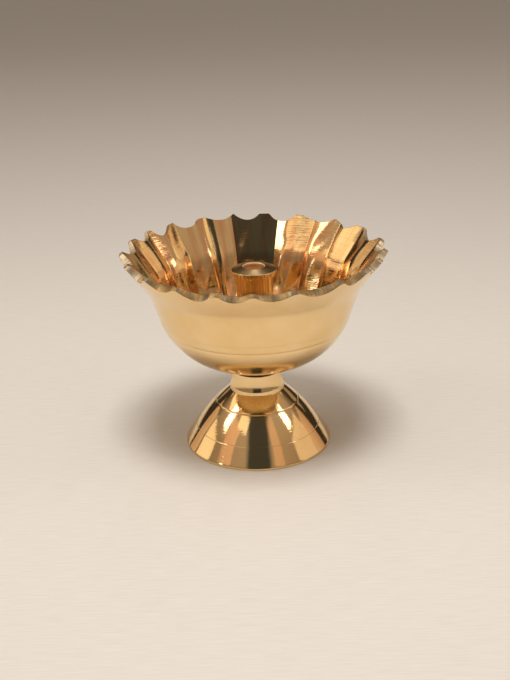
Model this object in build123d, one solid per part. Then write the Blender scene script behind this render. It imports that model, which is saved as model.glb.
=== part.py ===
from build123d import *
import os
from math import cos, radians, sin, tan

# Foot, outside. Millimetres, heights above the surface that the lamp stands on
foot_radius = 18.6
foot_edge_height = 0.6
skirt_top_radius = 15.7
skirt_top_height = 4.9
dome_top_radius = 6.8
dome_top_height = 14.5
dome_bulge = 0.45
neck_band_height = 0.85
neck_flare = 0.3
neck_flare_rise = 1.5
neck_length = 4.1
neck_edge_round = 0.15

# Foot, hollow underside
rest_ring_width = 2.0
foot_wall = 2.2
foot_crown = 4.1
hollow_top_radius = 6.0

# Bowl, followed from its bottom boss out to the lip
bowl_wall = 2.0
boss_radius = 5.2
boss_height = 0.75
underside_slope = 14.0
underside_radius = 43.0
underside_turn = 13.0
belly_radius = 18.5
belly_turn = 46.0
side_length = 5.6
flare_radius = 10.0
flare_turn = 19.5
lip_length = 8.8
floor_pad_margin = 1.45
floor_pad_rise = 0.4

# Petals round the lip, each with a pressed flute down the inside
petal_count = 21
first_petal_angle = 12.0
notch_radius = 3.9
notch_depth = 2.1
flute_depth_at_lip = 1.1
flute_depth_at_flare = 0.9
flute_depth_at_side = 0.5
flute_runout = 0.25
flute_reach = 2.2
flute_half_angle = 70.0
flute_overrun = 1.5

# Wick holder, a turned post with a screwed shank
holder_height = 23.8
stem_radius = 4.65
flange_overhang = 0.9
flange_thickness = 1.15
flange_crown = 0.7
flange_edge_chamfer = 0.15
flange_cove = 0.45
wick_bore_radius = 2.25
wick_bore_depth = 12.0
wick_bore_chamfer = 0.55
shank_radius = 3.0
thread_engagement = 7.0
shank_tip_chamfer = 0.5

# Fits
thread_clearance = 0.05
bowl_hole_clearance = 0.3

# Heights where the pieces meet, from the sizes above
band_top_height = dome_top_height + neck_band_height
neck_height = band_top_height + neck_length
boss_top = neck_height + boss_height
bottom_thickness = bowl_wall * cos(radians(underside_slope))
floor_height = boss_top + bottom_thickness + floor_pad_rise
holder_top = floor_height + holder_height
shank_tip = neck_height - thread_engagement


def turned(*edges):
    """A closed outline of radius against height, revolved about the upright axis."""
    outline = make_face(Curve() + list(edges))
    return revolve(Plane.XZ * outline, Axis.Z)


def chain(*points):
    """Straight edges through points of the outline."""
    return [Line(a, b) for a, b in zip(points, points[1:])]


def upright_cylinder(radius, bottom, top):
    """A cylinder on the upright axis between two heights."""
    return Pos(0, 0, (bottom + top) / 2) * Cylinder(radius, top - bottom)


def make_foot():
    """Flared skirt, dome, band and neck, tapped down the middle and hollow underneath."""
    hole_radius = shank_radius + thread_clearance
    hollow_height = dome_top_height - foot_crown
    neck_radius = dome_top_radius - neck_flare
    skirt_top = (skirt_top_radius, skirt_top_height)
    dome_top = (dome_top_radius, dome_top_height)
    band_top = (dome_top_radius, band_top_height)
    neck_side = (neck_radius, band_top_height + neck_flare_rise)
    neck_shoulder = (neck_radius, neck_height - neck_edge_round)
    neck_top = (neck_radius - neck_edge_round, neck_height)
    skirt = chain((foot_radius, 0), (foot_radius, foot_edge_height), skirt_top)
    dome = SagittaArc(skirt_top, dome_top, -dome_bulge)
    band = Line(dome_top, band_top)
    flare = TangentArc(neck_side, band_top, tangent=(0, -1))
    side = Line(neck_side, neck_shoulder)
    shoulder = RadiusArc(neck_shoulder, neck_top, -neck_edge_round)
    inside = chain(
        neck_top,
        (hole_radius, neck_height),
        (hole_radius, hollow_height),
        (hollow_top_radius, hollow_height),
        (skirt_top_radius - foot_wall, skirt_top_height),
        (foot_radius - rest_ring_width, 0),
        (foot_radius, 0),
    )
    return turned(*skirt, dome, band, flare, side, shoulder, *inside)


def bowl_side(inset):
    """Edges of the bowl's section from the boss to the lip, set in from the outside."""
    slope = radians(underside_slope)
    start = (boss_radius - inset * sin(slope), boss_top + inset * cos(slope))
    underside = JernArc(start, (cos(slope), sin(slope)), underside_radius - inset, underside_turn)
    belly = JernArc(underside @ 1, underside % 1, belly_radius - inset, belly_turn)
    side = PolarLine(belly @ 1, side_length, direction=belly % 1)
    flare = JernArc(side @ 1, side % 1, flare_radius + inset, -flare_turn)
    lip = PolarLine(flare @ 1, lip_length, direction=flare % 1)
    return [underside, belly, side, flare, lip]


def flute_section(edge, along, depth, beyond=0):
    """V section of a flute, square to the bowl's inside wall at one point along it."""
    heading = edge % along
    wall = edge @ along + heading * beyond
    outward = Vector(heading.Y, -heading.X)
    bottom = wall + outward * depth
    mouth = bottom - outward * flute_reach
    half_width = flute_reach * tan(radians(flute_half_angle))
    corners = [(bottom.X, 0, bottom.Y), (mouth.X, half_width, mouth.Y), (mouth.X, -half_width, mouth.Y)]
    return Face(Wire.make_polygon([Vector(*corner) for corner in corners]))


def flute_cutter():
    """One flute, deepest at the lip and running out on the belly."""
    underside, belly, side, flare, lip = bowl_side(bowl_wall)
    sections = [
        flute_section(lip, 1, flute_depth_at_lip, flute_overrun),
        flute_section(flare, 0.5, flute_depth_at_flare),
        flute_section(side, 0.3, flute_depth_at_side),
        flute_section(belly, 0.7, -flute_runout),
    ]
    return loft(sections, ruled=True)


def notch_cutter():
    """A round file's cut through the lip, square to the wall."""
    outer_lip = bowl_side(0)[-1]
    inner_lip = bowl_side(bowl_wall)[-1]
    across = inner_lip @ 1 - outer_lip @ 1
    middle = outer_lip @ 1 + across / 2 + (outer_lip % 1) * (notch_radius - notch_depth)
    plane = Plane((middle.X, 0, middle.Y), x_dir=(0, 1, 0), z_dir=(across.X, 0, across.Y))
    return plane * Cylinder(notch_radius, bowl_wall * 4)


def make_bowl():
    """Turned bowl with a bottom boss, a seat for the wick holder and a petalled lip."""
    outside = bowl_side(0)
    inside = bowl_side(bowl_wall)
    floor_start = inside[0] @ 0
    boss_edge = (boss_radius, neck_height)
    bottom = chain(floor_start, (0, floor_start.Y), (0, neck_height), boss_edge, outside[0] @ 0)
    edge = Line(outside[-1] @ 1, inside[-1] @ 1)
    body = turned(*outside, *inside, *bottom, edge)
    pad_bottom = boss_top + bottom_thickness / 2
    body += upright_cylinder(stem_radius + floor_pad_margin, pad_bottom, floor_height)
    body -= upright_cylinder(shank_radius + bowl_hole_clearance, neck_height, floor_height)
    pitch = 360 / petal_count
    turns = [first_petal_angle + pitch * i for i in range(petal_count)]
    flute = flute_cutter()
    notch = notch_cutter()
    body -= [Rot(0, 0, turn) * flute for turn in turns]
    body -= [Rot(0, 0, turn + pitch / 2) * notch for turn in turns]
    return body


def make_wick_holder():
    """Post with a crowned flange on top, a blind wick bore and a shank that clamps the bowl."""
    flange_radius = stem_radius + flange_overhang
    flange_edge_top = holder_top - flange_crown
    flange_bottom = flange_edge_top - flange_thickness
    bore_bottom = holder_top - wick_bore_depth
    cove_start = (stem_radius + flange_cove, flange_bottom)
    cove_end = (stem_radius, flange_bottom - flange_cove)
    flange = chain(
        (0, bore_bottom),
        (wick_bore_radius, bore_bottom),
        (wick_bore_radius, holder_top - wick_bore_chamfer),
        (wick_bore_radius + wick_bore_chamfer, holder_top),
        (flange_radius - flange_edge_chamfer, flange_edge_top),
        (flange_radius, flange_edge_top - flange_edge_chamfer),
        (flange_radius, flange_bottom),
        cove_start,
    )
    cove = RadiusArc(cove_start, cove_end, flange_cove)
    shank = chain(
        cove_end,
        (stem_radius, floor_height),
        (shank_radius, floor_height),
        (shank_radius, shank_tip + shank_tip_chamfer),
        (shank_radius - shank_tip_chamfer, shank_tip),
        (0, shank_tip),
        (0, bore_bottom),
    )
    return turned(*flange, cove, *shank)


os.makedirs("parts", exist_ok=True)
export_step(make_foot(), "parts/foot.step")
export_step(make_bowl(), "parts/bowl.step")
export_step(make_wick_holder(), "parts/wick_holder.step")
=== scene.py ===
"""A small footed brass lamp with a petal-cut lip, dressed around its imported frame.

Lengths are in millimetres until a mesh or camera is made, lights are set out in metres, and angles are in
degrees.
"""

from math import ceil, cos, pi, radians, sin

import bpy
import numpy as np
from mathutils import Matrix, Vector


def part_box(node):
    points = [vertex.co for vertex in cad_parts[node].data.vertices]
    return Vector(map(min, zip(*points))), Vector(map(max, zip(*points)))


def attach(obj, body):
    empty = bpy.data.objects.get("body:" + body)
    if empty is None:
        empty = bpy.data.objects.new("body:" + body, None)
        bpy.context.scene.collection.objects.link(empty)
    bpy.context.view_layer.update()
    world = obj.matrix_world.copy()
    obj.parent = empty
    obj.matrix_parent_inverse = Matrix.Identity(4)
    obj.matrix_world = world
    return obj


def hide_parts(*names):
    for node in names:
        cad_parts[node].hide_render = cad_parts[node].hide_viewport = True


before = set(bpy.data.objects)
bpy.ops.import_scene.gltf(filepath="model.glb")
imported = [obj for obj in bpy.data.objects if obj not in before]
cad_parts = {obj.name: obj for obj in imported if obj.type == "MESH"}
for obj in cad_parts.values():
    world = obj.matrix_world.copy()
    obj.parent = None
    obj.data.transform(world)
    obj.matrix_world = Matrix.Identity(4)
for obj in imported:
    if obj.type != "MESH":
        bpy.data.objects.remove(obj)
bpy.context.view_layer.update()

MM = 0.001
rng = np.random.default_rng(21)

# Heights and radii that the frame already holds
foot_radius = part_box("foot")[1].x / MM
neck_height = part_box("foot")[1].z / MM
lip_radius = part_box("bowl")[1].x / MM
holder_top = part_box("wick_holder")[1].z / MM
shank_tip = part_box("wick_holder")[0].z / MM

# Foot
foot_edge_height = 0.6
skirt_top_radius, skirt_top_height = 15.7, 4.9
dome_top_radius, dome_top_height = 6.8, 14.5
dome_bulge = 0.45
dome_scribe = (10.25, 10.97)
band_top_height = 15.35
neck_radius = 6.3
neck_flare_rise, neck_flare_hollow = 2.75, 0.126
rest_ring_width = 2.0
hollow_top_radius, hollow_top_height = 6.0, 10.4
hollow_skirt_radius = 13.5
tapped_radius, tapped_countersink = 3.05, 0.4
foot_segments = 144

# Bowl
bowl_wall = 2.0
boss_radius, boss_top, boss_edge_break = 5.2, 20.2, 0.1
shank_hole_radius, shank_hole_break = 3.3, 0.2
floor_height, floor_pad_radius = 22.54, 6.1
inside_start = 1.7
underside_slope = 14.0
bowl_scribe_heights = (32.35, 34.4)

# The bowl's outside from the boss to the lip: arcs by radius and turn, lines by length
bowl_runs = (
    ("arc", 43.0, 13.0),
    ("arc", 18.5, 46.0),
    ("line", 5.6, 0.0),
    ("arc", 10.0, -19.5),
    ("line", 8.8, 0.0),
)

# Petals as they were filed by hand, going round the lip: the angles of each tip and each flute, half the
# angle of the tip's flat, the depth of the notch that follows, the flute's strength, and the share of the
# way to the next flute where the ridge lies
petals = (
    (6.6, 7.5, 1.9, 2.0, 1.00, 0.45),
    (28.9, 26.0, 2.6, 1.5, 1.05, 0.78),
    (46.0, 42.5, 0.4, 1.4, 1.30, 0.76),
    (65.7, 57.3, 1.6, 2.2, 1.00, 0.66),
    (83.9, 76.9, 2.6, 1.65, 0.90, 0.50),
    (99.4, 100.6, 0.3, 1.25, 0.85, 0.74),
    (116.4, 113.6, 2.0, 2.0, 0.90, 0.28),
    (133.2, 131.3, 1.5, 2.1, 1.00, 0.55),
    (148.5, 149.5, 1.2, 1.8, 1.05, 0.42),
    (163.5, 164.5, 1.8, 2.2, 0.95, 0.50),
    (184.0, 183.0, 1.4, 1.9, 1.10, 0.55),
    (201.5, 202.0, 2.0, 2.1, 0.90, 0.47),
    (219.0, 220.0, 1.6, 1.6, 1.00, 0.50),
    (236.0, 237.0, 1.4, 2.0, 1.05, 0.44),
    (253.6, 254.0, 2.0, 1.5, 0.95, 0.52),
    (269.2, 269.5, 1.2, 1.2, 1.00, 0.50),
    (286.8, 287.5, 1.8, 1.7, 1.10, 0.56),
    (308.0, 307.5, 1.3, 1.6, 0.90, 0.48),
    (324.0, 324.5, 2.2, 1.7, 1.00, 0.50),
    (337.5, 337.0, 1.5, 2.0, 1.05, 0.54),
    (351.0, 351.8, 1.1, 2.1, 0.95, 0.46),
)
notch_lean = 0.16
full_ridge_gap, least_swell = 19.0, 0.5

# Depth of the flutes at lengths along the wall from the boss
flute_depths = ((0.0, 0.0), (13.0, 0.0), (22.0, 0.45), (30.0, 0.82), (43.0, 0.9))

# The lip's edge, lower at the front, raised where a flute ends, and filed across. The inset leads from its
# outermost radius to the one at which notches are measured
lip_inset = 0.8
lip_margin = 0.05
lip_round, lip_squareness = 0.1, 6
lip_sag = 1.8
tip_lift = 0.6
stroke_depth = 0.02

# Slow waves left in the bowl's inside, which fade out towards the floor
ripple_count, ripple_height = 7, 0.011
ripple_waves_round = (9, 40)
ripple_wave_length = (7, 18)
ripple_start, ripple_full = 8.0, 20.0

# Points of the bowl: degrees between columns, rows up the wall, on the lip and over its edge, and steps in
# the search for a scribed line's place
column_step, least_columns = 0.62, 3
outer_wall_rows, outer_lip_rows = 36, 14
inner_wall_rows, inner_lip_rows = 44, 19
lip_edge_rows = 10
search_rows = 300

# Wick holder, whose outline stops just short of the axis
stem_radius = 4.65
flange_radius, flange_thickness, flange_crown = 5.55, 1.15, 0.7
flange_cove, flange_cove_hollow = 0.45, 0.13
bore_radius, bore_depth, bore_chamfer = 2.25, 12.0, 0.55
rubbed_width = 0.2
shank_radius, shank_chamfer = 3.0, 0.5
axis_gap = 0.05
holder_segments = 128

# Screw thread on the shank and in the neck. Reach and blend say how near to its radius a surface is cut,
# and leads and runouts how the cut ends
thread_pitch = 1.0
thread_depth, tapped_depth = 0.5, 0.3
thread_flank, thread_crest = 1.4, 0.2
thread_reach, thread_blend = 0.1, 0.05
thread_runout = 0.8
neck_lead = 0.1
shank_lead, shank_runout = 0.3, 1.0

# Roundings of edges and corners
crisp_round, fine_round, eased_round, soft_round = 0.05, 0.1, 0.12, 0.2
rest_rim_round, upper_rim_round = 0.18, 0.22
flange_rim_round, bore_rim_round = 0.14, 0.06
shank_root_round = 0.02
cast_round = 0.5

# Steps between the points of an outline
plain_step = 0.35
crown_step, chamfer_step, neck_step, cove_step, thread_step = 0.2, 0.15, 0.1, 0.08, 0.07

# Fine lines cut on the lathe, width and depth
foot_scribe = (0.17, 0.022)
bowl_scribe = (0.26, 0.05)

# Colours of the metal, of what has settled on it, and of painted shade and painted highlight
bright_brass = (0.90, 0.67, 0.36)
deep_brass = (0.82, 0.54, 0.22)
pale_brass = (0.95, 0.74, 0.44)
# Brown tarnish, also used as painted shade on the lower bowl
brown_tarnish_and_shade = (0.42, 0.24, 0.09)
red_tarnish = (0.78, 0.40, 0.19)
burnt_butter = (0.85, 0.37, 0.11)
singed_brown = (0.30, 0.13, 0.045)
file_grey = (0.42, 0.36, 0.25)
# Painted highlight for the left and right ends of the lip's edge
side_highlight_grey = (0.92, 0.84, 0.64)
# Painted shade for the joint between neck and bowl
joint_shade_black = (0.03, 0.02, 0.012)
joint_shade_brown = (0.09, 0.055, 0.025)

# Where finishes change: depths in the bore, distances of the lip's edge from the middle over which it is
# painted paler as a highlight, a height on the bowl below which it is painted darker as shade, and how fast
# that fades
singed_from, singed_to = 1.1, 0.5
pale_edge_from, pale_edge_to = 22.0, 29.0
bowl_dull_and_shaded_below, dull_and_shade_fade = 25.5, 4.0

# Radius at which a streak round the axis has its stated length
streak_radius = 28.0

# Camera as fitted to the photo
camera_focal_px, frame_height_px = 1000.0, 680.0
camera_place = (0.0, -231.85, 120.93)
camera_pitch, camera_yaw, camera_roll = 22.08, -0.05, -1.63
sensor_width = 36.0

# Room, by the direction of a ray from -1 to 1: where each part of it starts and ends, and how bright it is
back_wall, back_wall_share = (0.25, 0.55), 0.15
gap_sides, gap_front, gap_share = (0.24, 0.34), (-0.25, -0.05), 0.14
wall_rise, wall_levels = (0.4, 0.65), (0.3, 0.46)
ceiling_rise, ceiling_level = (0.72, 0.97), 0.8
wall_colour = (1.0, 0.76, 0.57)
ceiling_colour = (1.0, 0.92, 0.82)
gap_colour = (0.95, 0.95, 0.86)

# Floor, in metres, with the stretch of its grain
floor_size = 12
floor_grain = (0.16, 2.8, 1.0)
floor_grey = (0.74, 0.725, 0.70)
floor_pale = (0.80, 0.785, 0.765)

# Lights and lit cards that face the lamp: azimuth and elevation, distance, width and height in metres,
# radiance and colour. Polished metal mirrors all but the unmirrored ones
lamp_middle = Vector((0, 0, 25)) * MM
warm_white = (1.0, 0.95, 0.88)
softboxes = {
    "overhead_softbox": (270, 77, 0.55, 0.17, 0.17, 21.5, warm_white),
    "left_softbox": (187, 44, 0.6, 0.12, 0.22, 3.4, warm_white),
    "right_softbox": (-12, 40, 0.25, 0.05, 0.066, 3.2, warm_white),
    "back_softbox": (88, 48, 0.8, 0.10, 0.10, 3.0, warm_white),
    "left_card": (172, 15, 0.9, 0.40, 0.30, 0.85, (1.0, 0.84, 0.62)),
    "left_near_card": (167, 41.5, 0.19, 0.060, 0.042, 0.95, (1.0, 0.84, 0.62)),
    "right_card": (-4, 19, 0.9, 0.52, 0.44, 0.5, (1.0, 0.80, 0.58)),
    "left_red_card": (149, 11, 0.9, 0.24, 0.36, 0.55, (1.0, 0.66, 0.44)),
    "right_red_card": (22, 12, 0.9, 0.28, 0.38, 0.42, (1.0, 0.62, 0.42)),
    "front_card": (227, 52, 0.6, 0.19, 0.13, 0.8, (1.0, 0.84, 0.60)),
    "front_left_red_card": (210, 37, 0.6, 0.21, 0.23, 0.38, (1.0, 0.50, 0.32)),
    "front_right_red_card": (305, 38, 0.6, 0.14, 0.39, 0.26, (1.0, 0.50, 0.30)),
    "left_gold_card": (142, 33, 0.16, 0.045, 0.03, 0.6, (1.0, 0.80, 0.54)),
    "right_gold_card": (35, 36, 0.16, 0.045, 0.03, 0.65, (1.0, 0.80, 0.54)),
    "left_dim_card": (121, 10, 0.9, 0.22, 0.14, 0.3, (1.0, 0.74, 0.48)),
    "right_dim_card": (48, 15, 0.9, 0.24, 0.16, 0.3, (1.0, 0.74, 0.48)),
    "left_strip": (208, 21, 0.9, 0.07, 0.14, 3.0, warm_white),
}
unmirrored = ("overhead_softbox",)


# Outlines of turned pieces
def bulged(start, end, bulge, share):
    """The point at a share of the way along an edge that bulges to its left."""
    along = end - start
    left = np.array((-along[1], along[0])) / np.hypot(*along)
    return start + along * share + left * bulge * 4 * share * (1 - share)


class Outline:
    """A closed outline of radius against height, with rounded corners and a finish for each edge."""

    def __init__(self):
        self.corners = []

    def to(self, radius, height, rounding=0.0, bulge=0.0, finish=0, step=plain_step):
        """Adds a corner. Bulge, finish and step belong to the edge that arrives at it."""
        self.corners.append((np.array((radius, height), float), rounding, bulge, finish, step))

    def points(self):
        """Points round the outline, and the finish of the edge after each of them."""
        points, finishes = [], []
        count = len(self.corners)
        for i in range(count):
            start, start_round = self.corners[i - 1][:2]
            end, end_round, bulge, finish, step = self.corners[i]
            length = np.hypot(*(end - start))
            steps = max(1, ceil((length - start_round - end_round) / step))
            shares = np.linspace(start_round / length, 1 - end_round / length, steps + 1)
            edge = [bulged(start, end, bulge, share) for share in shares]
            arrive = edge[-1]
            if end_round:
                following, _, next_bulge = self.corners[(i + 1) % count][:3]
                leave = bulged(end, following, next_bulge, end_round / np.hypot(*(following - end)))
                for u in (0.25, 0.5, 0.75):
                    edge.append(arrive * (1 - u) ** 2 + end * 2 * u * (1 - u) + leave * u * u)
            else:
                edge.pop()
            points += edge
            finishes += [finish] * len(edge)
        return np.array(points), np.array(finishes)


def groove(distance, width, depth):
    """Depth of a scribed line at a distance from its middle."""
    return depth * np.clip(1 - (2 * distance / width) ** 2, 0, None)


def scribed(points, finishes, place, width, depth):
    """The outline with a fine turned line cut where it passes nearest to a place."""
    ring = np.vstack((points, points[:1]))
    lengths = np.concatenate(([0], np.cumsum(np.hypot(*np.diff(ring, axis=0).T))))
    middle = lengths[np.argmin(np.hypot(*(points - np.array(place)).T))]
    across_line = width * np.linspace(-0.5, 0.5, 9)
    stations = np.union1d(lengths[:-1], middle + across_line)
    cut = np.array([np.interp(stations, lengths, ring[:, k]) for k in range(2)]).T
    heading = np.gradient(cut, axis=0)
    heading /= np.hypot(*heading.T)[:, None]
    inward = np.stack((-heading[:, 1], heading[:, 0]), axis=1)
    owner = np.clip(np.searchsorted(lengths, stations, side="right") - 1, 0, len(points) - 1)
    return cut + inward * groove(stations - middle, width, depth)[:, None], finishes[owner]


# Meshes
def about_axis(radius, height, turn):
    """Points in space by radius, height and turn about the upright axis, in radians."""
    return np.stack((radius * np.cos(turn), radius * np.sin(turn), height), axis=-1)


def grid_mesh(name, grid, finishes, materials):
    """A smooth mesh from rows of points, closed on itself both ways.

    Finishes says which of the materials each row of faces has.
    """
    rows, columns = grid.shape[:2]
    row = np.arange(rows)
    column = np.arange(columns)
    a = row[:, None] * columns + column
    b = row[:, None] * columns + (column + 1) % columns
    c = ((row + 1) % rows)[:, None] * columns + (column + 1) % columns
    d = ((row + 1) % rows)[:, None] * columns + column
    faces = np.stack((a, b, c, d), axis=-1).reshape(-1, 4)
    mesh = bpy.data.meshes.new(name)
    mesh.from_pydata((grid * MM).reshape(-1, 3).tolist(), [], faces.tolist())
    mesh.polygons.foreach_set("material_index", np.repeat(finishes, columns).astype(np.int32))
    mesh.polygons.foreach_set("use_smooth", np.ones(len(faces), bool))
    for material in materials:
        mesh.materials.append(material)
    mesh.update()
    piece = bpy.data.objects.new(name, mesh)
    bpy.context.scene.collection.objects.link(piece)
    return piece


def turned(name, points, finishes, materials, segments, shape):
    """A turned piece from its outline.

    Shape changes the radius by angle, radius and height, as a thread does.
    """
    angles = 2 * pi * np.arange(segments) / segments
    radius = np.repeat(points[:, :1], segments, axis=1)
    height = np.repeat(points[:, 1:], segments, axis=1)
    radius = radius + shape(angles[None, :], radius, height)
    return grid_mesh(name, about_axis(radius, height, angles), finishes, materials)


def ramp(value, low, high):
    """0 below low, 1 above high, and smooth between them."""
    share = np.clip((value - low) / (high - low), 0, 1)
    return share * share * (3 - 2 * share)


def crowded(count):
    """Shares from 0 up to 1, closer together at both ends."""
    return 0.5 - 0.5 * np.cos(pi * np.arange(count) / count)


# Shader nodes
class Nodes:
    """A node tree, with short calls for what the finishes and the room share."""

    def __init__(self, tree):
        self.tree = tree

    def node(self, kind, **settings):
        """A new shader node with its settings."""
        made = self.tree.nodes.new("ShaderNode" + kind)
        for key, value in settings.items():
            setattr(made, key, value)
        return made

    def link(self, source, target):
        """Joins an output to an input."""
        self.tree.links.new(source, target)

    def fill(self, socket, value):
        """Sets a socket to a number or a tuple, or links another socket to it."""
        if isinstance(value, (int, float, tuple)):
            socket.default_value = value
        else:
            self.link(value, socket)

    def filled(self, made, values):
        """The first output of a node whose inputs are filled in order."""
        for socket, value in zip(made.inputs, values):
            self.fill(socket, value)
        return made.outputs[0]

    def math(self, operation, *values):
        """Arithmetic on numbers."""
        return self.filled(self.node("Math", operation=operation), values)

    def vector(self, operation, *values):
        """Arithmetic on vectors."""
        return self.filled(self.node("VectorMath", operation=operation), values)

    def together(self, *values):
        """A vector from its parts."""
        return self.filled(self.node("CombineXYZ"), values)

    def apart(self, vector):
        """The three parts of a vector."""
        made = self.node("SeparateXYZ")
        self.link(vector, made.inputs[0])
        return made.outputs

    def noise(self, vector, size, detail=2.0):
        """Noise with features of a size in the vector's own unit, as a value around 0.5."""
        made = self.node("TexNoise")
        made.inputs["Scale"].default_value = 1 / size
        made.inputs["Detail"].default_value = detail
        self.link(vector, made.inputs["Vector"])
        return made.outputs["Fac"]

    def spread(self, value, low, high, out_low, out_high):
        """A value from one range to another, held at the ends."""
        made = self.node("MapRange")
        numbers = {"From Min": low, "From Max": high, "To Min": out_low, "To Max": out_high}
        for key, number in numbers.items():
            made.inputs[key].default_value = number
        self.link(value, made.inputs["Value"])
        return made.outputs[0]

    def share(self, value, low, high, most=1.0):
        """0 where a value is low, rising to most where it is high."""
        return self.spread(value, low, high, 0.0, most)

    def mix(self, share, first, second):
        """Two colours, each a tuple or a socket, mixed by a socket."""
        made = self.node("Mix", data_type="RGBA")
        self.link(share, made.inputs["Factor"])
        for socket, colour in zip((made.inputs[6], made.inputs[7]), (first, second)):
            self.fill(socket, (*colour, 1) if isinstance(colour, tuple) else colour)
        return made.outputs[2]


class Finish(Nodes):
    """One material, with coordinates in millimetres."""

    def __init__(self, name, metallic):
        self.material = bpy.data.materials.new(name)
        self.material.use_nodes = True
        super().__init__(self.material.node_tree)
        self.surface = self.tree.nodes["Principled BSDF"]
        self.surface.inputs["Metallic"].default_value = metallic
        scaled = self.node("VectorMath", operation="SCALE")
        scaled.inputs["Scale"].default_value = 1 / MM
        self.link(self.node("TexCoord").outputs["Object"], scaled.inputs[0])
        self.place = scaled.outputs[0]

    def level(self):
        """The place without its height."""
        return self.vector("MULTIPLY", self.place, (1.0, 1.0, 0.0))

    def height(self):
        """How high the place is."""
        return self.apart(self.place)[2]

    def turning(self):
        """Radius and height, the same all the way round."""
        length = self.node("VectorMath", operation="LENGTH")
        self.link(self.level(), length.inputs[0])
        return self.together(length.outputs["Value"], self.height())

    def streaks(self, along, across, detail=2.0):
        """Noise drawn out round the axis, with features of one length round it and another up it."""
        repeats = streak_radius / along
        around = self.vector("MULTIPLY", self.vector("NORMALIZE", self.level()), (repeats, repeats, 0.0))
        upward = self.vector("MULTIPLY", self.place, (0.0, 0.0, 1 / across))
        return self.noise(self.vector("ADD", around, upward), 1.0, detail)

    def set(self, name, value):
        """Sets an input of the surface to a number, or links a socket to it."""
        self.fill(self.surface.inputs[name], value)

    def bump(self, height, depth):
        """A relief whose height runs from 0 to 1 over a depth in millimetres."""
        made = self.node("Bump")
        made.inputs["Strength"].default_value = 1.0
        made.inputs["Distance"].default_value = depth * MM
        self.link(height, made.inputs["Height"])
        self.link(made.outputs[0], self.surface.inputs["Normal"])


# Finishes
def turned_brass(name, colour, roughness, ring_size, ring_depth, stain,
                 anisotropy=0.0, dull_and_shaded_below=0.0, heat=0.0, wobble=0.01):
    """Polished brass with fine turning marks, broken scratches, cloudy handling and small stains.

    Below a height it is rougher, and its colour is darkened towards brown as painted shade. Heat is the
    share of red streaks up it, and wobble is the depth in millimetres of the slow unevenness that breaks up
    what it mirrors.
    """
    finish = Finish(name, metallic=1.0)
    rings = finish.noise(finish.turning(), size=ring_size, detail=3.0)
    scratches = finish.streaks(along=7.0, across=0.22, detail=3.0)
    clouds = finish.noise(finish.place, size=7.0, detail=4.0)
    specks = finish.noise(finish.place, size=0.9, detail=3.0)
    slow = finish.noise(finish.place, size=2.4, detail=3.0)
    # Below the given height the colour is painted darker and browner as shade, and the roughness rises
    low = finish.spread(finish.height(), dull_and_shaded_below - dull_and_shade_fade, dull_and_shaded_below, 1.0, 0.0)
    worn_and_shaded = finish.mix(finish.share(clouds, 0.35, 0.7, most=0.5), colour, deep_brass)
    worn_and_shaded = finish.mix(finish.math("MULTIPLY", low, 0.7), worn_and_shaded, brown_tarnish_and_shade)
    if heat:
        tint = finish.share(finish.streaks(along=2.4, across=16.0), 0.42, 0.62, most=heat)
        worn_and_shaded = finish.mix(tint, worn_and_shaded, red_tarnish)
    stains = finish.share(specks, 0.66, 0.8, most=stain)
    finish.set("Base Color", finish.mix(stains, worn_and_shaded, brown_tarnish_and_shade))
    marks = finish.math("ADD", rings, finish.share(scratches, 0.5, 0.75, most=0.8))
    marked_dull = finish.share(marks, 0.3, 1.2, most=0.06)
    handled_dull = finish.share(clouds, 0.3, 0.7, most=0.04)
    low_dull = finish.math("MULTIPLY", low, 0.15)
    dull = finish.math("ADD", finish.math("ADD", marked_dull, handled_dull), low_dull)
    finish.set("Roughness", finish.math("ADD", dull, roughness))
    if anisotropy:
        finish.set("Anisotropic", anisotropy)
        finish.set("Anisotropic Rotation", 0.25)
        tangent = finish.node("Tangent", direction_type="RADIAL", axis="Z")
        finish.set("Tangent", tangent.outputs[0])
    finish.bump(finish.math("MULTIPLY_ADD", slow, wobble / ring_depth, marks), ring_depth)
    return finish.material


def drilled_brass():
    """The wick's bore: dull, brown with burnt butter and singed towards its mouth."""
    finish = Finish("post_bore", metallic=0.2)
    patches = finish.noise(finish.place, size=1.2, detail=3.0)
    colour = finish.mix(finish.share(patches, 0.35, 0.7), burnt_butter, deep_brass)
    mouth = finish.share(finish.height(), holder_top - singed_from, holder_top - singed_to)
    finish.set("Base Color", finish.mix(mouth, colour, singed_brown))
    finish.set("Roughness", 0.5)
    return finish.material


def rubbed_brass():
    """The edge of the wick's bore, rubbed pale and matt."""
    finish = Finish("post_chamfer", metallic=0.45)
    patches = finish.noise(finish.place, size=0.8, detail=3.0)
    colour = finish.mix(finish.share(patches, 0.4, 0.7, most=0.6), pale_brass, deep_brass)
    finish.set("Base Color", colour)
    finish.set("Roughness", 0.3)
    return finish.material


def filed_brass():
    """The lip's edge: grey, painted paler towards the left and right ends as a highlight, with file strokes
    across it and dirt between them.
    """
    finish = Finish("filed_lip_edge", metallic=1.0)
    strokes = finish.streaks(along=0.45, across=2.0, detail=3.0)
    patches = finish.noise(finish.place, size=2.2, detail=3.0)
    colour = finish.mix(finish.share(patches, 0.38, 0.68), file_grey, deep_brass)
    # Painted highlight: the edge grows paler towards the left and right ends
    sideways = finish.math("ABSOLUTE", finish.apart(finish.place)[0])
    colour = finish.mix(finish.share(sideways, pale_edge_from, pale_edge_to, most=0.85), colour, side_highlight_grey)
    dirt = finish.share(strokes, 0.5, 0.75, most=0.75)
    finish.set("Base Color", finish.mix(dirt, colour, brown_tarnish_and_shade))
    finish.set("Roughness", finish.spread(strokes, 0.3, 0.7, 0.38, 0.6))
    finish.bump(strokes, depth=0.04)
    return finish.material


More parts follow.
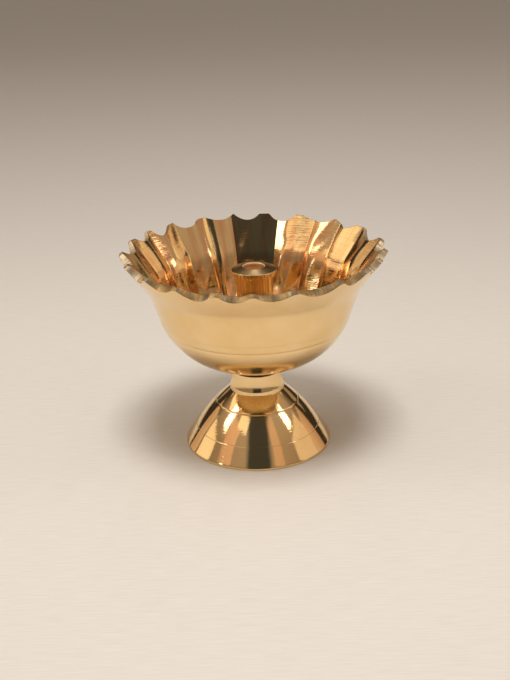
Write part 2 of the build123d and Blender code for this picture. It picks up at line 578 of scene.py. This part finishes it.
def cast_brass():
    """The foot's hollow: as cast, dull and brown."""
    finish = Finish("cast_underside", metallic=1.0)
    grains = finish.noise(finish.place, size=0.5, detail=5.0)
    patches = finish.noise(finish.place, size=4.0, detail=4.0)
    colour = finish.mix(finish.share(patches, 0.35, 0.65), deep_brass, brown_tarnish_and_shade)
    finish.set("Base Color", colour)
    finish.set("Roughness", finish.spread(grains, 0.3, 0.7, 0.42, 0.62))
    finish.bump(grains, depth=0.12)
    return finish.material


def shaded_joint_brass():
    """The joint between neck and bowl, painted dark as the shade between the two parts."""
    finish = Finish("joint_painted_shade", metallic=0.6)
    patches = finish.noise(finish.place, size=1.5, detail=3.0)
    colour = finish.mix(finish.share(patches, 0.35, 0.7), joint_shade_black, joint_shade_brown)
    finish.set("Base Color", colour)
    finish.set("Roughness", 0.6)
    return finish.material


# Pieces
def take_place(piece, node):
    """The piece stands for a node of the frame and moves with the body of the same name."""
    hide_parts(node)
    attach(piece, node)


def thread_wave(angles, height):
    """A right-hand thread's profile, 0 at its crest and 1 at its root."""
    turn = (height / thread_pitch - angles / (2 * pi)) % 1
    return np.clip(np.abs(2 * turn - 1) * thread_flank - thread_crest, 0, 1)


def tapping(angles, radius, height):
    """How far the thread is cut into the neck's hole."""
    inside = ramp(tapped_radius + thread_reach - radius, 0, thread_blend)
    low_end = ramp(height, hollow_top_height, hollow_top_height + thread_runout)
    high_end = ramp(neck_height - height, neck_lead, thread_runout)
    return tapped_depth * inside * low_end * high_end * (1 - thread_wave(angles, height))


def make_foot():
    """Flared skirt, dome, band and neck, tapped down the middle and hollow underneath."""
    polished, cast, shaded_joint = range(3)
    outline = Outline()
    outline.to(foot_radius - rest_ring_width, 0, soft_round, finish=cast)
    outline.to(foot_radius, 0, rest_rim_round, finish=polished)
    outline.to(foot_radius, foot_edge_height, upper_rim_round)
    outline.to(skirt_top_radius, skirt_top_height, eased_round)
    outline.to(dome_top_radius, dome_top_height, fine_round, bulge=-dome_bulge)
    outline.to(dome_top_radius, band_top_height, eased_round, step=neck_step)
    flare_top = band_top_height + neck_flare_rise
    outline.to(neck_radius, flare_top, soft_round, bulge=neck_flare_hollow, step=neck_step)
    outline.to(neck_radius, neck_height, eased_round)
    # The neck's top and the mouth of its hole are painted dark as the shade under the bowl
    outline.to(tapped_radius + tapped_countersink, neck_height, fine_round, finish=shaded_joint)
    outline.to(tapped_radius, neck_height - tapped_countersink, crisp_round, finish=shaded_joint)
    outline.to(tapped_radius, hollow_top_height, fine_round, finish=cast, step=thread_step)
    outline.to(hollow_top_radius, hollow_top_height, cast_round, finish=cast)
    outline.to(hollow_skirt_radius, skirt_top_height, cast_round, finish=cast)
    points, finishes = outline.points()
    for place in ((skirt_top_radius, skirt_top_height), dome_scribe):
        points, finishes = scribed(points, finishes, place, *foot_scribe)
    materials = [
        turned_brass("foot_polish", bright_brass, roughness=0.03, ring_size=0.45, ring_depth=0.004,
                     stain=0.25),
        cast_brass(),
        shaded_joint_brass(),
    ]
    foot = turned("foot_turned", points, finishes, materials, foot_segments, tapping)
    take_place(foot, "foot")


def arc_or_line(bend, distance):
    """How far ahead and to the left a path of constant bend gets over a distance."""
    if bend == 0:
        return distance, distance * 0
    return np.sin(bend * distance) / bend, (1 - np.cos(bend * distance)) / bend


def run_length(kind, size, turn):
    """Length of one run of the bowl's outside."""
    return abs(radians(turn)) * size if kind == "arc" else size


def wall_points(lengths):
    """Radius, height and slope of the bowl's outside at lengths along it from the boss."""
    radius, height, slope = (np.zeros_like(lengths) for _ in range(3))
    at = np.array((boss_radius, boss_top))
    heading = radians(underside_slope)
    begin = 0.0
    for kind, size, turn in bowl_runs:
        run = run_length(kind, size, turn)
        bend = np.sign(turn) / size if kind == "arc" else 0.0
        here = lengths >= begin
        ahead = np.array((cos(heading), sin(heading)))
        left = np.array((-sin(heading), cos(heading)))
        forward, sideways = arc_or_line(bend, lengths[here] - begin)
        radius[here] = at[0] + forward * ahead[0] + sideways * left[0]
        height[here] = at[1] + forward * ahead[1] + sideways * left[1]
        slope[here] = heading + bend * (lengths[here] - begin)
        forward, sideways = arc_or_line(bend, np.array(run))
        at = at + forward * ahead + sideways * left
        heading += bend * run
        begin += run
    return radius, height, slope


def around_lip():
    """Angles round the bowl in degrees, crowded towards each petal's tip and each flute."""
    knots = sorted({petal[0] for petal in petals} | {petal[1] for petal in petals})
    angles = []
    for start, end in zip(knots, knots[1:] + [knots[0] + 360]):
        count = max(least_columns, round((end - start) / column_step))
        angles += list(start + (end - start) * crowded(count))
    return np.array(angles)


def between(angles, marks):
    """For each angle, the mark before it, the gap to the next mark and the share of that gap."""
    marks = np.array(marks)
    gaps = np.diff(np.append(marks, marks[0] + 360))
    place = (np.searchsorted(marks, angles % 360, side="right") - 1) % len(marks)
    share = ((angles - marks[place]) % 360) / gaps[place]
    return place, gaps[place], share


def lip_cut(angles, radius):
    """How far the round file cut into the lip at each angle, for a lip of a radius."""
    tips, _, flats, depths, _, _ = (np.array(column) for column in zip(*petals))
    place, gap, share = between(angles, tips)
    before, after = flats[place], np.roll(flats, -1)[place]
    width = radians(1) * radius * (gap - before - after)
    x = radians(1) * radius * (share * gap - before) - width / 2
    leans = rng.uniform(-notch_lean, notch_lean, len(petals))[place]
    x = x + leans * (width / 2) * (1 - (2 * x / width) ** 2)
    depth = depths[place]
    file_radius = (width ** 2 / 4 + depth ** 2) / (2 * depth)
    cut = np.sqrt(np.clip(file_radius ** 2 - x ** 2, 0, None)) - (file_radius - depth)
    return np.where(np.abs(x) < width / 2, cut, 0)


def flute_share(angles):
    """Low on the rounded ridge between two flutes and about 1 at the sharp bottom of each."""
    _, flutes, _, _, strengths, ridges = (np.array(column) for column in zip(*petals))
    place, gap, share = between(angles, flutes)
    ridge = ridges[place]
    swell = np.clip(gap / full_ridge_gap, least_swell, 1)
    bent = np.where(share < ridge, share / ridge / 2, 1 - (1 - share) / (1 - ridge) / 2)
    ends = strengths[place] * (1 - share) + np.roll(strengths, -1)[place] * share
    return ends * (1 - swell * np.sin(pi * bent))


def ripple(turn, lengths):
    """Slight unevenness left in the inside wall by pressing and polishing by hand."""
    total = np.zeros_like(lengths)
    for _ in range(ripple_count):
        waves_round = rng.integers(*ripple_waves_round)
        wave_length = rng.uniform(*ripple_wave_length)
        phase = rng.uniform(0, 2 * pi)
        total += ripple_height * np.cos(waves_round * turn + 2 * pi * lengths / wave_length + phase)
    return total * ramp(lengths, ripple_start, ripple_full)


def outer_wall_stations(lip_start):
    """Lengths along the wall for rows of the outside below the lip, close together at scribed lines."""
    search = np.linspace(0, lip_start, search_rows)
    lines = np.interp(bowl_scribe_heights, wall_points(search)[1], search)
    across_line = bowl_scribe[0] * np.linspace(-0.6, 0.6, 7)
    close = np.concatenate([line + across_line for line in lines])
    return np.union1d(np.linspace(0, lip_start, outer_wall_rows), close)


def make_bowl():
    """Boss, satin outside, filed edge, fluted inside and floor, in one skin of rows round the axis."""
    satin, filed, polished, shaded_joint = range(4)
    angles = around_lip()
    turn = np.radians(angles)
    full = sum(run_length(*run) for run in bowl_runs)
    lip_start = full - bowl_runs[-1][1]
    flutes = flute_share(angles)
    sag = lip_sag * np.clip(-np.sin(turn), 0, None) ** 2
    cut = lip_cut(angles, lip_radius - lip_inset) + lip_round + sag - tip_lift * flutes

    def wall_rows(stations):
        """Lengths along the wall for rows of points, drawn back from the lip by what is cut off there."""
        upper = np.clip((stations - lip_start) / (full - lip_start), 0, 1)
        return stations[:, None] - upper[:, None] * cut[None, :]

    def ring(radius, height):
        """A level row of points."""
        return np.tile((radius, height), (len(angles), 1))

    lip = np.linspace(lip_start, full - lip_margin, outer_lip_rows)[1:]
    stations = np.concatenate((outer_wall_stations(lip_start), lip, [full]))
    radius, height, slope = wall_points(wall_rows(stations))
    for line in bowl_scribe_heights:
        radius = radius - groove(height - line, *bowl_scribe)
    outer = np.stack((radius, height), axis=-1)
    along_lip = np.stack((np.cos(slope[-1]), np.sin(slope[-1])), axis=-1)

    wall = np.linspace(inside_start, lip_start, inner_wall_rows)[:-1]
    lip = np.linspace(lip_start, full - lip_margin, inner_lip_rows)
    lengths = wall_rows(np.concatenate((wall, lip, [full])))
    radius, height, slope = wall_points(lengths)
    depth = np.interp(lengths, *zip(*flute_depths)) * flutes[None, :]
    thickness = bowl_wall - (depth + ripple(turn[None, :], lengths))
    inner = np.stack((radius - thickness * np.sin(slope), height + thickness * np.cos(slope)), axis=-1)

    strokes = 1 + stroke_depth / lip_round * rng.normal(0, 1, len(angles))
    edge = []
    for share in crowded(lip_edge_rows)[1:]:
        rise = lip_round * strokes * (1 - abs(2 * share - 1) ** lip_squareness)
        edge.append(outer[-1] * (1 - share) + inner[-1] * share + along_lip * rise[:, None])

    # The boss's rows are painted dark as the shade where it sits on the neck
    bottom = [
        ring(shank_hole_radius, neck_height),
        ring(boss_radius - boss_edge_break, neck_height),
        ring(boss_radius, neck_height + boss_edge_break),
        ring(boss_radius, boss_top - boss_edge_break),
    ]
    floor = [
        ring(floor_pad_radius, floor_height),
        ring(shank_hole_radius + shank_hole_break, floor_height),
        ring(shank_hole_radius, floor_height - shank_hole_break),
    ]
    rows = np.array([*bottom, *outer, *edge, *inner[::-1], *floor])
    finishes = [shaded_joint] * len(bottom) + [satin] * (len(outer) - 1)
    finishes += [filed] * (len(edge) + 1) + [polished] * (len(inner) + len(floor))
    # The satin outside is painted darker and browner below a height as shade
    materials = [
        turned_brass("bowl_satin", bright_brass, roughness=0.12, ring_size=0.4, ring_depth=0.003,
                     stain=0.15, anisotropy=0.3, dull_and_shaded_below=bowl_dull_and_shaded_below),
        filed_brass(),
        turned_brass("bowl_polish", bright_brass, roughness=0.06, ring_size=0.6, ring_depth=0.008,
                     stain=0.35, heat=0.7, wobble=0.02),
        shaded_joint_brass(),
    ]
    grid = about_axis(rows[..., 0], rows[..., 1], turn)
    bowl = grid_mesh("bowl_fluted", grid, np.array(finishes), materials)
    take_place(bowl, "bowl")


def threading(angles, radius, height):
    """How far the thread is cut into the shank."""
    shank = ramp(thread_reach - np.abs(radius - shank_radius), 0, thread_blend)
    low_end = ramp(height, shank_tip + shank_lead, shank_tip + shank_runout)
    high_end = ramp(neck_height - height, 0, thread_runout)
    return -thread_depth * shank * low_end * high_end * thread_wave(angles, height)


def make_wick_holder():
    """Screwed shank, post and crowned flange with a blind bore for the wick."""
    polished, rubbed, threaded, drilled, faced = range(5)
    flange_edge_top = holder_top - flange_crown
    flange_bottom = flange_edge_top - flange_thickness
    bore_bottom = holder_top - bore_depth
    mouth_radius = bore_radius + bore_chamfer
    outline = Outline()
    outline.to(axis_gap, shank_tip, finish=threaded)
    outline.to(shank_radius - shank_chamfer, shank_tip, fine_round, finish=threaded)
    outline.to(shank_radius, shank_tip + shank_chamfer, fine_round, finish=threaded)
    outline.to(shank_radius, floor_height, shank_root_round, finish=threaded, step=thread_step)
    outline.to(stem_radius, floor_height, eased_round, finish=polished)
    outline.to(stem_radius, flange_bottom - flange_cove, crisp_round)
    cove_end = stem_radius + flange_cove
    outline.to(cove_end, flange_bottom, crisp_round, bulge=flange_cove_hollow, step=cove_step)
    outline.to(flange_radius, flange_bottom, fine_round)
    outline.to(flange_radius, flange_edge_top, flange_rim_round)
    outline.to(mouth_radius, holder_top, crisp_round, finish=faced, step=crown_step)
    outline.to(mouth_radius - rubbed_width, holder_top - rubbed_width, finish=rubbed, step=chamfer_step)
    outline.to(bore_radius, holder_top - bore_chamfer, bore_rim_round, finish=drilled, step=chamfer_step)
    outline.to(bore_radius, bore_bottom, fine_round, finish=drilled)
    outline.to(axis_gap, bore_bottom, finish=drilled)
    points, finishes = outline.points()
    materials = [
        turned_brass("post_polish", pale_brass, roughness=0.08, ring_size=0.45, ring_depth=0.006, stain=0.3),
        rubbed_brass(),
        turned_brass("post_thread", deep_brass, roughness=0.2, ring_size=0.3, ring_depth=0.004, stain=0.4),
        drilled_brass(),
        turned_brass("post_top", bright_brass, roughness=0.27, ring_size=0.4, ring_depth=0.003, stain=0.3,
                     anisotropy=0.8),
    ]
    holder = turned("wick_holder_turned", points, finishes, materials, holder_segments, threading)
    take_place(holder, "wick_holder")


# Stage
def add_camera():
    """The camera at its fitted place, pitched down, and turned and rolled a little."""
    pitch, yaw, roll = (radians(angle) for angle in (camera_pitch, camera_yaw, camera_roll))
    forward = Vector((sin(yaw) * cos(pitch), cos(yaw) * cos(pitch), -sin(pitch)))
    level = Vector((cos(yaw), -sin(yaw), 0))
    upright = level.cross(forward)
    right = level * cos(roll) + upright * sin(roll)
    up = upright * cos(roll) - level * sin(roll)
    data = bpy.data.cameras.new("camera")
    data.sensor_width = sensor_width
    data.lens = sensor_width * camera_focal_px / frame_height_px
    data.clip_start, data.clip_end = 0.01, 50.0
    camera = bpy.data.objects.new("camera", data)
    basis = Matrix((right, up, -forward)).transposed().to_4x4()
    camera.matrix_world = Matrix.Translation(Vector(camera_place) * MM) @ basis
    bpy.context.scene.collection.objects.link(camera)
    bpy.context.scene.camera = camera


def add_softbox(name, azimuth, elevation, distance, width, height, radiance, colour):
    """A soft rectangular light facing the lamp."""
    around, above = radians(azimuth), radians(elevation)
    towards = Vector((cos(around) * cos(above), sin(around) * cos(above), sin(above)))
    data = bpy.data.lights.new(name, "AREA")
    data.shape = "RECTANGLE"
    data.size, data.size_y = width, height
    data.energy = radiance * pi * width * height
    data.color = colour
    light = bpy.data.objects.new(name, data)
    light.location = lamp_middle + towards * distance
    light.rotation_mode = "QUATERNION"
    light.rotation_quaternion = (-towards).to_track_quat("-Z", "Y")
    light.visible_glossy = name not in unmirrored
    bpy.context.scene.collection.objects.link(light)


def add_world():
    """A dim warm room with brown walls and a paler ceiling.

    It is darker behind the lamp, and has a dark gap between the walls on the camera's side.
    """
    world = bpy.data.worlds.new("studio")
    bpy.context.scene.world = world
    world.use_nodes = True
    room = Nodes(world.node_tree)
    x, y, z = room.apart(room.node("TexCoord").outputs["Generated"])
    behind = room.spread(y, *back_wall, 1.0, back_wall_share)
    beside = room.spread(room.math("ABSOLUTE", x), *gap_sides, 1.0, 0.0)
    facing = room.spread(y, *gap_front, 1.0, 0.0)
    gap = room.math("MULTIPLY", beside, facing)
    walls = room.math("MULTIPLY", behind, room.spread(z, *wall_rise, *wall_levels))
    ceiling = room.share(z, *ceiling_rise, most=ceiling_level)
    lit = room.math("MAXIMUM", walls, ceiling)
    level = room.math("MULTIPLY", lit, room.spread(gap, 0.0, 1.0, 1.0, gap_share))
    colour = room.mix(ceiling, wall_colour, ceiling_colour)
    background = room.tree.nodes["Background"]
    room.link(room.mix(gap, colour, gap_colour), background.inputs["Color"])
    room.link(level, background.inputs["Strength"])


def add_floor():
    """A plain pale floor with a faint grain."""
    bpy.ops.mesh.primitive_plane_add(size=floor_size)
    floor = bpy.context.object
    floor.name = "floor"
    finish = Finish("pale_floor", metallic=0.0)
    grain = finish.noise(finish.vector("MULTIPLY", finish.place, floor_grain), size=1.0, detail=3.0)
    finish.set("Base Color", finish.mix(finish.share(grain, 0.3, 0.7), floor_grey, floor_pale))
    finish.set("Roughness", 0.6)
    floor.data.materials.append(finish.material)


make_foot()
make_bowl()
make_wick_holder()
add_floor()
add_world()
for softbox, settings in softboxes.items():
    add_softbox(softbox, *settings)
add_camera()
bpy.context.scene.view_settings.view_transform = "Standard"
